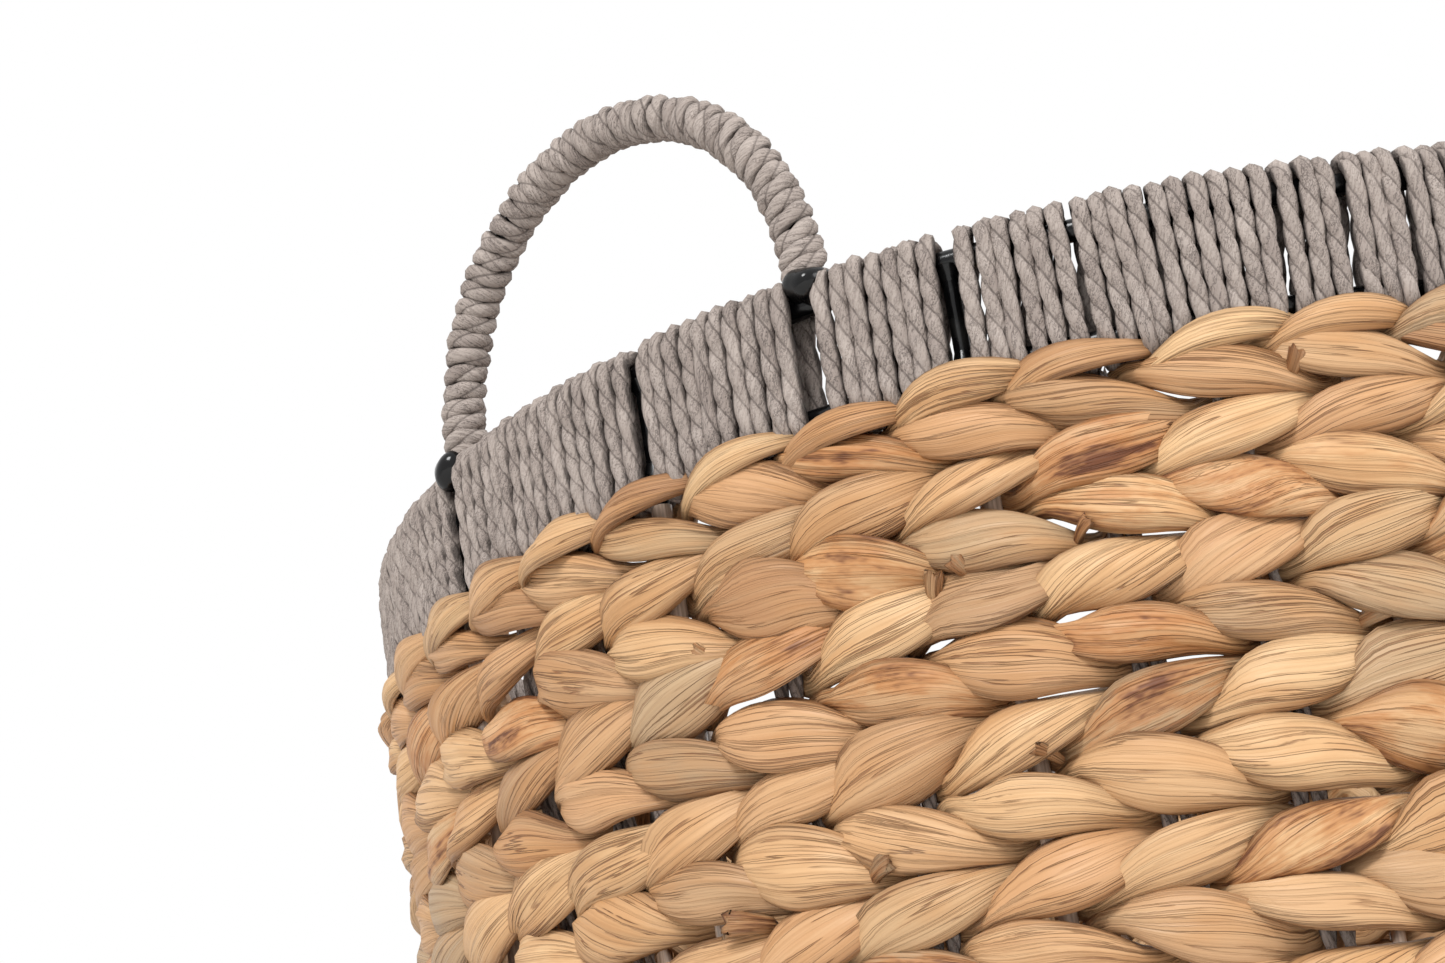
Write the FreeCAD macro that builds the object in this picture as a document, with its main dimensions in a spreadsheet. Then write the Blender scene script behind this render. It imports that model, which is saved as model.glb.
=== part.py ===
"""Round woven laundry basket on a welded wire frame.

Two rim rings, short posts between them and sixteen side wires that turn in under the floor make the frame.
Paper cord is wound round the rim and the two arched handles. Water hyacinth is twined round the stakes, one
row above another up the wall, and one row inside another across the base. Millimetres, +Z up, origin at the
middle of the underside.
"""

import FreeCAD, Part
import math
import os

import Sketcher

V = FreeCAD.Vector
UP = V(0, 0, 1)

# alias, value, what it is
DIMENSIONS = [
    ("basket_height", 500, "floor to the top of the rim wrapping"),
    ("ring_radius", 218, "centre line of the rim rings, and the circle that the stakes stand on"),
    ("ring_wire", 5.5, "diameter of the rim rings' and handles' wire"),
    ("ring_spacing", 28, "between the centre lines of the two rim rings"),
    ("wire_count", 16, "side wires round the basket"),
    ("wire_turn", 3.2, "degrees from a handle's middle to the side wire next to it"),
    ("cords_between", 2, "paper stakes between two side wires"),
    ("side_wire", 4, "diameter of the posts and side wires"),
    ("wire_bend", 8, "centre line radius of the turn from wall to base"),
    ("sleeve_wall", 0.6, "wall of the plastic sleeve on each side wire"),
    ("stake_cord", 4, "diameter of one cord of a paper stake, which is a pair"),
    ("cord_gap", 0.1, "between the two cords of a paper stake"),
    ("cord_reach", 125, "radius at which the paper stakes end under the base"),
    ("rim_cord", 2.4, "thickness of the cord wound round the rim"),
    ("rim_clearance", 0.5, "between the rim rings and the cord wound round them"),
    ("handle_cord", 2.8, "thickness of the cord wound round a handle"),
    ("handle_radius", 62, "centre line radius of a handle's arch"),
    ("handle_leg", 2.5, "straight part of a handle's foot above the rim wrapping"),
    ("crossing_cord", 3.2, "diameter of the cord end that crosses a foot gap"),
    ("crossing_drop", 18, "how far that cord end falls as it crosses"),
    ("weaver_outer", 9, "from the stake circle to the wall's outer face"),
    ("weaver_inner", 9, "from the stake circle to the wall's inner face"),
    ("wall_rows", 27, "twined rows in the wall"),
    ("base_rows", 12, "twined rows across the base"),
    ("border_height", 16, "height of the outermost base row, which the basket stands on"),
    ("floor_height", 12, "thickness of the other base rows, which lie half way up the border"),
    ("hub_radius", 14, "steel disc that the side wires meet at"),
    ("hub_height", 4, "thickness of that disc"),
    ("weld_leg", 1.2, "how far a weld bead stands out from its wire"),
    ("weld_height", 2.6, "length of a weld bead along its wire"),
    ("weld_seat", 1.3, "how far a weld bead laps the side of the ring"),
    ("clearance", 0.3, "between a woven or wound piece and what it holds"),
    ("metal_fit", 0.05, "between welded metal pieces"),
]

doc = FreeCAD.newDocument("laundry_basket")
sheet = doc.addObject("Spreadsheet::Sheet", "dims")
for row, (alias, value, meaning) in enumerate(DIMENSIONS, start=1):
    sheet.set("A%d" % row, meaning)
    sheet.set("B%d" % row, str(value))
    sheet.setAlias("B%d" % row, alias)
doc.recompute()

subparts = []


def dim(alias):
    return float(sheet.get(alias))


def subpart(obj, label):
    """Names an object as a sub-part, which is written to a file of that name."""
    obj.Label = label
    subparts.append(obj)
    return obj


def feature(label, shape):
    """A sub-part whose shape is worked out in code, where it stands."""
    obj = doc.addObject("Part::Feature", label)
    obj.Shape = shape
    obj.Placement = FreeCAD.Placement()
    return subpart(obj, label)


# Heights and places that follow from the driving dimensions, as expressions for bound objects.
TOP_RING_Z = "(dims.basket_height - dims.rim_cord - dims.rim_clearance - dims.ring_wire / 2)"
LOWER_RING_Z = "(%s - dims.ring_spacing)" % TOP_RING_Z
FOOT_ANGLE = "asin(dims.handle_radius / dims.ring_radius)"
FOOT_GAP = "(dims.ring_wire + 2 * dims.weld_leg + 2 * dims.clearance)"
GAP_ANGLE = "asin(%s / 2 / dims.ring_radius)" % FOOT_GAP
HANDLE_X = "(dims.ring_radius * cos(%s))" % FOOT_ANGLE
SPRING_Z = "dims.basket_height + dims.handle_leg"

# The same as numbers, for shapes worked out in code.
top_ring_z = dim("basket_height") - dim("rim_cord") - dim("rim_clearance") - dim("ring_wire") / 2
lower_ring_z = top_ring_z - dim("ring_spacing")
wrap_bottom_z = lower_ring_z - dim("ring_wire") / 2 - dim("rim_clearance") - dim("rim_cord")
foot_angle = math.degrees(math.asin(dim("handle_radius") / dim("ring_radius")))
foot_gap = dim("ring_wire") + 2 * dim("weld_leg") + 2 * dim("clearance")
gap_angle = math.degrees(math.asin(foot_gap / 2 / dim("ring_radius")))
spoke_z = dim("border_height") / 2
wall_outer = dim("ring_radius") + dim("weaver_outer")
wall_inner = dim("ring_radius") - dim("weaver_inner")
sleeve_radius = dim("side_wire") / 2 + dim("sleeve_wall")

wire_step = 360 / dim("wire_count")
wire_angles = [dim("wire_turn") + i * wire_step for i in range(int(dim("wire_count")))]
cord_step = wire_step / (dim("cords_between") + 1)
cord_angles = [a + k * cord_step for a in wire_angles for k in range(1, int(dim("cords_between")) + 1)]


def turned(shape, angle):
    """A copy of a shape, turned about the basket's axis."""
    copy = shape.copy()
    copy.rotate(V(0, 0, 0), UP, angle)
    return copy


def ring_of(shapes, angles):
    """One compound of separate solids: each shape at each angle round the basket."""
    return Part.Compound([turned(s, a) for a in angles for s in shapes])


def origin_feature(body, role):
    return next(f for f in body.Origin.OriginFeatures if f.Role == role)


def new_sketch(body, name, plane):
    sketch = body.newObject("Sketcher::SketchObject", name)
    sketch.AttachmentSupport = [(origin_feature(body, plane), "")]
    sketch.MapMode = "FlatFace"
    return sketch


def bind(sketch, constraint, name, expression):
    """Adds a named constraint to a sketch and ties its value to the sheet."""
    index = sketch.addConstraint(constraint)
    sketch.renameConstraint(index, name)
    sketch.setExpression("Constraints." + name, expression)


def bound_circle(sketch, name, radius, x, y):
    """A circle in a sketch. radius, x and y are (value, expression)."""
    circle = sketch.addGeometry(Part.Circle(V(x[0], y[0], 0), V(0, 0, 1), radius[0]), False)
    bind(sketch, Sketcher.Constraint("Radius", circle, radius[0]), name + "_radius", radius[1])
    bind(sketch, Sketcher.Constraint("DistanceX", -1, 1, circle, 3, x[0]), name + "_x", x[1])
    bind(sketch, Sketcher.Constraint("DistanceY", -1, 1, circle, 3, y[0]), name + "_y", y[1])
    return circle


def rim_ring(label, height, height_expression):
    """One round wire of the rim."""
    body = doc.addObject("PartDesign::Body", label)
    sketch = new_sketch(body, label + "_section", "XZ_Plane")
    bound_circle(
        sketch,
        "wire",
        (dim("ring_wire") / 2, "dims.ring_wire / 2"),
        (dim("ring_radius"), "dims.ring_radius"),
        (height, height_expression),
    )
    spin = body.newObject("PartDesign::Revolution", label + "_ring")
    spin.Profile = sketch
    spin.ReferenceAxis = (origin_feature(body, "Z_Axis"), [""])
    spin.Angle = 360
    return subpart(body, label)


def slot_loop(sketch, name, radius, radius_expression):
    """A closed loop round both rim rings: two straight sides and a half circle about each wire's centre."""
    r, turn = dim("ring_radius"), math.pi
    crown = Part.Circle(V(r, top_ring_z, 0), UP, radius)
    sole = Part.Circle(V(r, lower_ring_z, 0), UP, radius)
    inner_ends = [V(r - radius, z, 0) for z in (top_ring_z, lower_ring_z)]
    outer_ends = [V(r + radius, z, 0) for z in (lower_ring_z, top_ring_z)]
    top = sketch.addGeometry(Part.ArcOfCircle(crown, 0, turn), False)
    low = sketch.addGeometry(Part.ArcOfCircle(sole, turn, 2 * turn), False)
    inner = sketch.addGeometry(Part.LineSegment(*inner_ends), False)
    outer = sketch.addGeometry(Part.LineSegment(*outer_ends), False)
    joints = ((top, 2, inner, 1), (inner, 2, low, 1), (low, 2, outer, 1), (outer, 2, top, 1))
    for first, end, second, start in joints:
        sketch.addConstraint(Sketcher.Constraint("Tangent", first, end, second, start))
    sketch.addConstraint(Sketcher.Constraint("Vertical", inner))
    bind(sketch, Sketcher.Constraint("Radius", top, radius), name + "_radius", radius_expression)
    bind(sketch, Sketcher.Constraint("DistanceX", -1, 1, top, 3, r), name + "_x", "dims.ring_radius")
    bind(sketch, Sketcher.Constraint("DistanceY", -1, 1, top, 3, top_ring_z), name + "_top", TOP_RING_Z)
    bind(sketch, Sketcher.Constraint("DistanceY", -1, 1, low, 3, lower_ring_z), name + "_low", LOWER_RING_Z)


def rim_wrap(label, sweep_expression, middle_angle, post_spaces):
    """A stretch of cord wound round both rim rings: the sleeve that its turns fill, parted at each post."""
    body = doc.addObject("PartDesign::Body", label + "_turns")
    sketch = new_sketch(body, label + "_section", "XZ_Plane")
    hollow = dim("ring_wire") / 2 + dim("rim_clearance")
    hollow_expression = "dims.ring_wire / 2 + dims.rim_clearance"
    slot_loop(sketch, "hollow", hollow, hollow_expression)
    slot_loop(sketch, "outside", hollow + dim("rim_cord"), hollow_expression + " + dims.rim_cord")
    spin = body.newObject("PartDesign::Revolution", label + "_sleeve")
    spin.Profile = sketch
    spin.ReferenceAxis = (origin_feature(body, "Z_Axis"), [""])
    spin.Midplane = True
    spin.setExpression("Angle", sweep_expression)
    body.Placement = FreeCAD.Placement(V(0, 0, 0), FreeCAD.Rotation(UP, middle_angle))
    wrap = doc.addObject("Part::Cut", label)
    wrap.Base, wrap.Tool = body, post_spaces
    return subpart(wrap, label)


def arch_path(body, name, foot_z, foot_expression):
    """The line of a handle's wire: up from each foot and over in a half circle about the rim's top."""
    sketch = new_sketch(body, name, "YZ_Plane")
    sketch.AttachmentOffset = FreeCAD.Placement(V(0, 0, 1), FreeCAD.Rotation())
    sketch.setExpression("AttachmentOffset.Base.z", HANDLE_X)
    r, spring_z = dim("handle_radius"), dim("basket_height") + dim("handle_leg")
    circle = Part.Circle(V(0, spring_z, 0), UP, r)
    arch = sketch.addGeometry(Part.ArcOfCircle(circle, 0, math.pi), False)
    bind(sketch, Sketcher.Constraint("Radius", arch, r), "arch_radius", "dims.handle_radius")
    bind(sketch, Sketcher.Constraint("DistanceY", -1, 1, arch, 3, spring_z), "spring", SPRING_Z)
    sketch.addConstraint(Sketcher.Constraint("PointOnObject", arch, 3, -2))
    sketch.addConstraint(Sketcher.Constraint("Horizontal", arch, 1, arch, 2))
    if foot_z < spring_z:
        right = sketch.addGeometry(Part.LineSegment(V(r, foot_z, 0), V(r, spring_z, 0)), False)
        left = sketch.addGeometry(Part.LineSegment(V(-r, spring_z, 0), V(-r, foot_z, 0)), False)
        sketch.addConstraint(Sketcher.Constraint("Tangent", right, 2, arch, 1))
        sketch.addConstraint(Sketcher.Constraint("Tangent", arch, 2, left, 1))
        bind(sketch, Sketcher.Constraint("DistanceY", -1, 1, right, 1, foot_z), "right_foot", foot_expression)
        bind(sketch, Sketcher.Constraint("DistanceY", -1, 1, left, 2, foot_z), "left_foot", foot_expression)
    return sketch


def handle_piece(label, angle, foot, radii):
    """A sub-part swept along a handle's line. foot is (height, expression); radii are its circles."""
    body = doc.addObject("PartDesign::Body", label)
    section = new_sketch(body, label + "_section", "XY_Plane")
    section.AttachmentOffset = FreeCAD.Placement(V(0, 0, 1), FreeCAD.Rotation())
    section.setExpression("AttachmentOffset.Base.z", foot[1])
    x = dim("ring_radius") * math.cos(math.radians(foot_angle))
    for index, radius in enumerate(radii):
        bound_circle(
            section,
            "circle%d" % index,
            radius,
            (x, HANDLE_X),
            (dim("handle_radius"), "dims.handle_radius"),
        )
    path = arch_path(body, label + "_line", foot[0], foot[1])
    doc.recompute()
    pipe = body.newObject("PartDesign::AdditivePipe", label + "_sweep")
    pipe.Profile = section
    pipe.Spine = path
    body.Placement = FreeCAD.Placement(V(0, 0, 0), FreeCAD.Rotation(UP, angle))
    return subpart(body, label)


def upright(radius, bottom, top):
    """A plain rod on the stake circle, standing from one height to another."""
    return Part.makeCylinder(radius, top - bottom, V(dim("ring_radius"), 0, bottom), UP)


def bent_rod(radius, aside, top, inner_end):
    """A rod that comes down the wall, turns in under the basket and runs towards its middle."""
    r, bend = dim("ring_radius"), dim("wire_bend")
    turn = math.sqrt(0.5) * bend
    start, down = V(r, aside, top), V(r, aside, spoke_z + bend)
    middle = V(r - bend + turn, aside, spoke_z + bend - turn)
    across = V(r - bend, aside, spoke_z)
    edges = [
        Part.LineSegment(start, down).toShape(),
        Part.Arc(down, middle, across).toShape(),
        Part.LineSegment(across, V(inner_end, aside, spoke_z)).toShape(),
    ]
    section = Part.Wire(Part.makeCircle(radius, start, V(0, 0, -1)))
    return Part.Wire(edges).makePipeShell([section], True, True)


def weld_bead(wire_radius, ring_height, side):
    """A bead round a wire that butts on a ring. side is 1 where the wire stands above the ring, or -1."""
    r = dim("ring_radius")
    seat = ring_height + side * (dim("ring_wire") / 2 - dim("weld_seat"))
    length = dim("weld_seat") + dim("weld_height")
    fit = wire_radius + dim("metal_fit")
    cone = Part.makeCone(wire_radius + dim("weld_leg"), fit, length, V(r, 0, seat), UP * side)
    bore = Part.makeCylinder(fit, length + 2, V(r, 0, seat - side), UP * side)
    ring = Part.makeTorus(r, dim("ring_wire") / 2 + dim("metal_fit"), V(0, 0, ring_height), UP)
    return cone.cut(Part.Compound([bore, ring])).Solids[0]


def stake_hole(width, depth, angle):
    """The outline of the hole that a stake passes a wall row through."""
    r = dim("ring_radius")
    outline = Part.makePlane(depth, width, V(r - depth / 2, -width / 2, 0)).OuterWire
    return turned(outline, angle)


def stake_channel(half_width, half_depth, inner_end):
    """The space that a bent stake takes in the base: down through the border and in along the spoke."""
    r, bend, top = dim("ring_radius"), dim("wire_bend"), dim("border_height") + 1
    outline = [
        V(r + half_depth, -half_width, top),
        V(r + half_depth, -half_width, spoke_z - half_depth),
        V(inner_end, -half_width, spoke_z - half_depth),
        V(inner_end, -half_width, spoke_z + half_depth),
        V(r - bend - half_depth, -half_width, spoke_z + half_depth),
        V(r - half_depth, -half_width, spoke_z + bend + half_depth),
        V(r - half_depth, -half_width, top),
    ]
    return Part.Face(Part.makePolygon(outline + outline[:1])).extrude(V(0, 2 * half_width, 0))


# The frame's rings, posts and handles.
rim_ring("top_rim_ring", top_ring_z, TOP_RING_Z)
rim_ring("lower_rim_ring", lower_ring_z, LOWER_RING_Z)

wire_radius = dim("side_wire") / 2
ring_half = dim("ring_wire") / 2 + dim("metal_fit")
post = upright(wire_radius, lower_ring_z + ring_half, top_ring_z - ring_half)
feature("rim_posts", ring_of([post], wire_angles))

side_wire_top = lower_ring_z - ring_half
side_wire = bent_rod(wire_radius, 0, side_wire_top, dim("hub_radius") + dim("metal_fit"))
feature("side_wires", ring_of([side_wire], wire_angles))

hub = doc.addObject("Part::Cylinder", "hub_disc")
hub.setExpression("Radius", "dims.hub_radius")
hub.setExpression("Height", "dims.hub_height")
hub.setExpression("Placement.Base.z", "dims.border_height / 2 - dims.hub_height / 2")
subpart(hub, "hub_disc")

handle_foot = (top_ring_z + dim("ring_wire") / 2, TOP_RING_Z + " + dims.ring_wire / 2")
arch_foot = (dim("basket_height"), "dims.basket_height")
wire_circle = (dim("ring_wire") / 2, "dims.ring_wire / 2")
wrap_bore = (dim("ring_wire") / 2 + dim("clearance"), "dims.ring_wire / 2 + dims.clearance")
wrap_skin = (wrap_bore[0] + dim("handle_cord"), wrap_bore[1] + " + dims.handle_cord")
for side, angle in (("right", 0), ("left", 180)):
    handle_piece("handle_wire_" + side, angle, handle_foot, [wire_circle])
    handle_piece("handle_wrap_" + side, angle, arch_foot, [wrap_bore, wrap_skin])

feet = [middle + turn for middle in (0, 180) for turn in (-foot_angle, foot_angle)]
feature("handle_welds", ring_of([weld_bead(dim("ring_wire") / 2, top_ring_z, 1)], feet))
post_beads = [weld_bead(wire_radius, lower_ring_z, 1), weld_bead(wire_radius, top_ring_z, -1)]
feature("rim_post_welds", ring_of(post_beads, wire_angles))
feature("side_wire_welds", ring_of([weld_bead(wire_radius, lower_ring_z, -1)], wire_angles))

# The cord wound round the rim, in the four stretches between the handles' feet.
under_handle = "2 * (%s - %s)" % (FOOT_ANGLE, GAP_ANGLE)
between_handles = "180 deg - 2 * (%s + %s)" % (FOOT_ANGLE, GAP_ANGLE)
post_spaces = doc.addObject("Part::Feature", "post_spaces")
post_room = wire_radius + dim("weld_leg") + dim("clearance")
post_spaces.Shape = ring_of([upright(post_room, wrap_bottom_z - 1, top_ring_z)], wire_angles)
rim_wrap("rim_wrap_right", under_handle, 0, post_spaces)
rim_wrap("rim_wrap_back", between_handles, 90, post_spaces)
rim_wrap("rim_wrap_left", under_handle, 180, post_spaces)
rim_wrap("rim_wrap_front", between_handles, 270, post_spaces)


def foot_crossing(angle):
    """The cord end that passes inside the rings from one stretch of rim wrapping to the next."""
    r = dim("ring_radius") - dim("ring_wire") / 2 - dim("rim_clearance") - dim("rim_cord") / 2
    reach, drop = foot_gap / 2, dim("crossing_drop") / 2
    middle = (top_ring_z + lower_ring_z) / 2
    start, end = V(r, -2 * reach, middle + 2 * drop), V(r, 2 * reach, middle - 2 * drop)
    cord = Part.makeCylinder(dim("crossing_cord") / 2, (end - start).Length, start, end - start)
    corner = V(0, 0, middle - 2 * drop)
    side = math.tan(math.radians(gap_angle)) * 2 * r
    outline = [corner, corner + V(2 * r, -side, 0), corner + V(2 * r, side, 0), corner]
    wedge = Part.Face(Part.makePolygon(outline)).extrude(V(0, 0, 4 * drop))
    return turned(cord.common(wedge).Solids[0], angle)


feature("foot_gap_cords", Part.Compound([foot_crossing(a) for a in feet]))

# The wall: sleeves on the side wires, paper stakes between them, and the twined rows round both.
wall_top = wrap_bottom_z - dim("clearance")
wall_bottom = dim("border_height") + dim("clearance")
sleeve = upright(sleeve_radius, wall_bottom, wall_top).cut(
    upright(wire_radius + dim("metal_fit"), wall_bottom - 1, wall_top + 1)
)
feature("side_wire_sleeves", ring_of([sleeve], wire_angles))

cord_radius = dim("stake_cord") / 2
cord_aside = cord_radius + dim("cord_gap") / 2
stake_pair = [bent_rod(cord_radius, y, wall_top, dim("cord_reach")) for y in (-cord_aside, cord_aside)]
feature("paper_stakes", ring_of(stake_pair, cord_angles))

wire_hole = 2 * (sleeve_radius + dim("clearance"))
cord_hole_width = 2 * (cord_aside + cord_radius + dim("clearance"))
cord_hole_depth = dim("stake_cord") + 2 * dim("clearance")
holes = [stake_hole(wire_hole, wire_hole, a) for a in wire_angles]
holes += [stake_hole(cord_hole_width, cord_hole_depth, a) for a in cord_angles]
rims = [Part.Wire(Part.makeCircle(r, V(0, 0, 0), UP)) for r in (wall_outer, wall_inner)]
row_outline = doc.addObject("Part::Feature", "wall_row_outline")
row_outline.Shape = Part.Face(rims + holes, "Part::FaceMakerBullseye")

WALL_TOP = "(%s - dims.ring_wire / 2 - dims.rim_clearance - dims.rim_cord - dims.clearance)" % LOWER_RING_Z
ROW_PITCH = "((%s - dims.border_height - dims.clearance) / dims.wall_rows)" % WALL_TOP
for number in range(1, int(dim("wall_rows")) + 1):
    row = doc.addObject("Part::Extrusion", "wall_row_%02d" % number)
    row.Base = row_outline
    row.DirMode = "Custom"
    row.Dir = UP
    row.Solid = True
    row.setExpression("LengthFwd", ROW_PITCH + " - dims.clearance")
    row.setExpression("Placement.Base.z", "%s + dims.clearance - %d * %s" % (WALL_TOP, number, ROW_PITCH))
    subpart(row, "wall_row_%02d" % number)

# The base: rings of twining one inside another, each with the spokes' channels cut through it.
spoke_channel = stake_channel(wire_radius + dim("clearance"), wire_radius + dim("clearance"), 0)
cord_channel = stake_channel(cord_hole_width / 2, cord_hole_depth / 2, dim("cord_reach") - dim("clearance"))
channels = doc.addObject("Part::Feature", "stake_channels")
channels.Shape = Part.Compound(
    [turned(spoke_channel, a) for a in wire_angles] + [turned(cord_channel, a) for a in cord_angles]
)

BASE_PITCH = "((dims.ring_radius + dims.weaver_outer - dims.hub_radius) / dims.base_rows)"
for number in range(1, int(dim("base_rows")) + 1):
    height = "dims.border_height" if number == 1 else "dims.floor_height"
    outer_radius = "dims.ring_radius + dims.weaver_outer - %d * %s" % (number - 1, BASE_PITCH)
    discs = []
    inner_radius = "%s - %s + dims.clearance" % (outer_radius, BASE_PITCH)
    for name, radius in (("outside", outer_radius), ("inside", inner_radius)):
        disc = doc.addObject("Part::Cylinder", "base_row_%02d_%s" % (number, name))
        disc.setExpression("Radius", radius)
        disc.setExpression("Height", height)
        disc.setExpression("Placement.Base.z", "dims.border_height / 2 - %s / 2" % height)
        discs.append(disc)
    ring = doc.addObject("Part::Cut", "base_row_%02d_ring" % number)
    ring.Base, ring.Tool = discs
    row = doc.addObject("Part::Cut", "base_row_%02d" % number)
    row.Base, row.Tool = ring, channels
    subpart(row, "base_row_%02d" % number)

doc.recompute()

for obj in doc.Objects:
    faults = [state for state in obj.State if state in ("Invalid", "Error")]
    if faults:
        raise RuntimeError("%s is %s" % (obj.Label, ", ".join(faults)))
for obj in subparts:
    if obj.Shape.isNull() or not obj.Shape.isValid() or not obj.Shape.Solids:
        raise RuntimeError("%s has no valid solid" % obj.Label)

os.makedirs("parts", exist_ok=True)
for obj in subparts:
    obj.Shape.exportStep("parts/%s.step" % obj.Label)
print("%d sub-parts written" % len(subparts))
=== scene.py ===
"""A round laundry basket: water hyacinth twined on a black steel frame.

Its rim and its two handles are wrapped in grey paper cord. The steel, the sleeves and the sizes come from the
CAD frame; the weave and the cord are made here, as closed tubes.
"""

import math

import bmesh
import bpy
import numpy as np
from mathutils import Matrix, Vector


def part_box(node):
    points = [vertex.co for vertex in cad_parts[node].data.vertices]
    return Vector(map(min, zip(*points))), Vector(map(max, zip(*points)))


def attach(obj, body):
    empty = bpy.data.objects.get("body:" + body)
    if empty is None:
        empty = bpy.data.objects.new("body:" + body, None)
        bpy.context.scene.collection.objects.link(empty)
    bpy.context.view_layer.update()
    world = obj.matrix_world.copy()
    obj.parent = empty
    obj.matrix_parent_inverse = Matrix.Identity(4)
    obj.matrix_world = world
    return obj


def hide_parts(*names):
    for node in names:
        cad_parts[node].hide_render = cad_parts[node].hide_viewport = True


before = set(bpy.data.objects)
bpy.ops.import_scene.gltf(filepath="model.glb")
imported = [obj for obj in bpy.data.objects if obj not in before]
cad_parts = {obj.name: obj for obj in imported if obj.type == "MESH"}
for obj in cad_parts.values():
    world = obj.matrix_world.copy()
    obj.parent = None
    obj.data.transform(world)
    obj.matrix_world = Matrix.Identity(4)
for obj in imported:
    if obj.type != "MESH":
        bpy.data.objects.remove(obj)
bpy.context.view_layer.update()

MM = 0.001
TAU = 2 * math.pi
rng = np.random.default_rng(27)

# ---------------------------------------------------------------- sizes, all read from the steel frame

top_low, top_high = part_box("top_rim_ring")
low_low, low_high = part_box("lower_rim_ring")
arch_low, arch_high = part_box("handle_wire_right")
disc_low, disc_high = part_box("hub_disc")

ring_wire = top_high.z - top_low.z
ring_radius = top_high.x - ring_wire / 2
top_ring_z = (top_low.z + top_high.z) / 2
low_ring_z = (low_low.z + low_high.z) / 2
floor_z = (disc_low.z + disc_high.z) / 2
handle_radius = (arch_high.y - arch_low.y - ring_wire) / 2
handle_x = (arch_low.x + arch_high.x) / 2
foot_angle = math.asin(handle_radius / ring_radius)

STAKES = 48  # what the strands go round: every third one is a side wire, the others are paper cord
SPOKES = 16  # side wires
STAKE_ANGLE = TAU / STAKES

# ---------------------------------------------------------------- small helpers


def unit(v):
    """The same directions, one unit long."""
    return v / np.linalg.norm(v, axis=-1, keepdims=True)


def share(a, b):
    """How much of one direction lies along another."""
    return np.sum(a * b, axis=-1, keepdims=True)


def smooth(x):
    """A soft step from 0 to 1."""
    x = np.clip(x, 0, 1)
    return x * x * (3 - 2 * x)


def wander(waves, amount):
    """A slow closed wobble: a function of the angle round the basket."""
    sizes = rng.normal(0, amount, waves) / np.sqrt(np.arange(1, waves + 1))
    starts = rng.uniform(0, TAU, waves)

    def at(angle):
        return sum(a * np.cos((n + 1) * angle + b) for n, (a, b) in enumerate(zip(sizes, starts)))

    return at


def blended(values, x, soft=0.12):
    """The value of the segment that x is in, melting into the next one where the two meet."""
    edge = np.round(x).astype(int)
    mix = smooth((x - edge) / (2 * soft) + 0.5)
    before, after = values[(edge - 1) % len(values)], values[edge % len(values)]
    return before * (1 - mix) + after * mix


def hump(t, middle, before, after, power=1.2):
    """A bell that rises over one length and falls over another."""
    reach = np.where(t < middle, before, after)
    return np.cos(np.clip((t - middle) / reach, -1, 1) * math.pi / 2) ** power


def eased(t, rise, dive):
    """Half a turn's time, bent so that the quarter turns fall at -rise and +dive."""
    sides = [
        [rise**2 * (1 - rise**2), -rise * (1 - rise**2)],
        [dive**2 * (1 - dive**2), dive * (1 - dive**2)],
    ]
    p, q = np.linalg.solve(sides, [rise - 0.5, 0.5 - dive])
    return t + (p * t * t + q * t) * (1 - t * t)


def read(items, name, width, kind=float):
    """One property of all the vertices or corners of a mesh, as an array."""
    values = np.empty(len(items) * width, kind)
    items.foreach_get(name, values)
    return values.reshape(-1, width) if width > 1 else values


def turn_of_posts():
    """How far the ring of posts is turned from the handles' middle line."""
    places = read(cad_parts["rim_posts"].data.vertices, "co", 3)
    angle = np.arctan2(places[:, 1], places[:, 0]) * SPOKES
    return math.atan2(np.sin(angle).mean(), np.cos(angle).mean()) / SPOKES


post_turn = turn_of_posts()

# ---------------------------------------------------------------- closed tubes


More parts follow.
